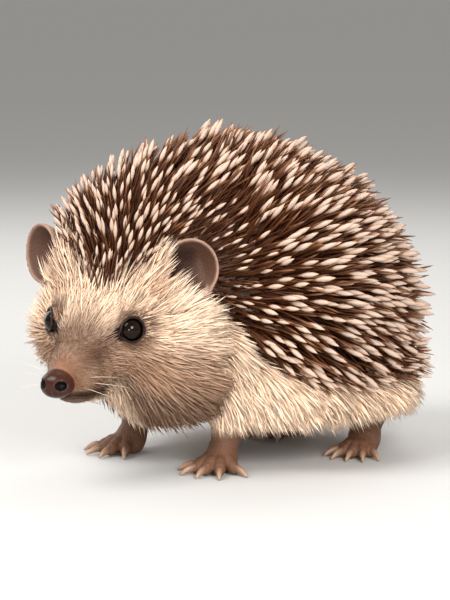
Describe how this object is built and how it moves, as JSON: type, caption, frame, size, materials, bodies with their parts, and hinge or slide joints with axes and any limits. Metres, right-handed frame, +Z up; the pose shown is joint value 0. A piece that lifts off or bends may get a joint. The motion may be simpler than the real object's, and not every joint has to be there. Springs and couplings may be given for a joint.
{
  "type": "hedgehog",
  "caption": "Life-size standing hedgehog with its head turned to its left: domed coat of banded spines, pale furred face and skirt, round cupped ears and small clawed feet.",
  "frame": {"origin": "middle of the model's outline in plan, on the floor", "axes": "-Y the way the trunk faces, +X the animal's left, +Z up"},
  "size_m": [0.1164, 0.1782, 0.1273],
  "materials": {
    "spines": "satin horn: dark-brown shafts with cream tips",
    "fur": "soft cream fur with brown roots",
    "muzzle_skin": "dark, short-haired skin along the mouth",
    "nose": "moist, finely grained, near-black brown",
    "eye": "polished near-black",
    "ear_skin": "bare brown skin, paler at the rim",
    "leg_skin": "wrinkled brown skin",
    "claw": "satin horn, pale brown"
  },
  "bodies": {
    "root": {"back": "spines", "belly": "fur", "claw_forefoot_left_1": "claw", "claw_forefoot_left_2": "claw", "claw_forefoot_left_3": "claw", "claw_forefoot_left_4": "claw", "claw_forefoot_left_5": "claw", "claw_forefoot_right_1": "claw", "claw_forefoot_right_2": "claw", "claw_forefoot_right_3": "claw", "claw_forefoot_right_4": "claw", "claw_forefoot_right_5": "claw", "claw_hindfoot_left_1": "claw", "claw_hindfoot_left_2": "claw", "claw_hindfoot_left_3": "claw", "claw_hindfoot_left_4": "claw", "claw_hindfoot_left_5": "claw", "claw_hindfoot_right_1": "claw", "claw_hindfoot_right_2": "claw", "claw_hindfoot_right_3": "claw", "claw_hindfoot_right_4": "claw", "claw_hindfoot_right_5": "claw", "crown": "spines", "ear_left": "ear_skin", "ear_right": "ear_skin", "eye_left": "eye", "eye_right": "eye", "forefoot_left": "leg_skin", "forefoot_right": "leg_skin", "foreleg_left": "leg_skin", "foreleg_right": "leg_skin", "haunches": "fur", "head": "fur", "hindfoot_left": "leg_skin", "hindfoot_right": "leg_skin", "hindleg_left": "leg_skin", "hindleg_right": "leg_skin", "jaw": "muzzle_skin", "nape": "spines", "neck": "fur", "nose": "nose", "rump": "spines", "tail": "leg_skin"}
  },
  "joints": []
}
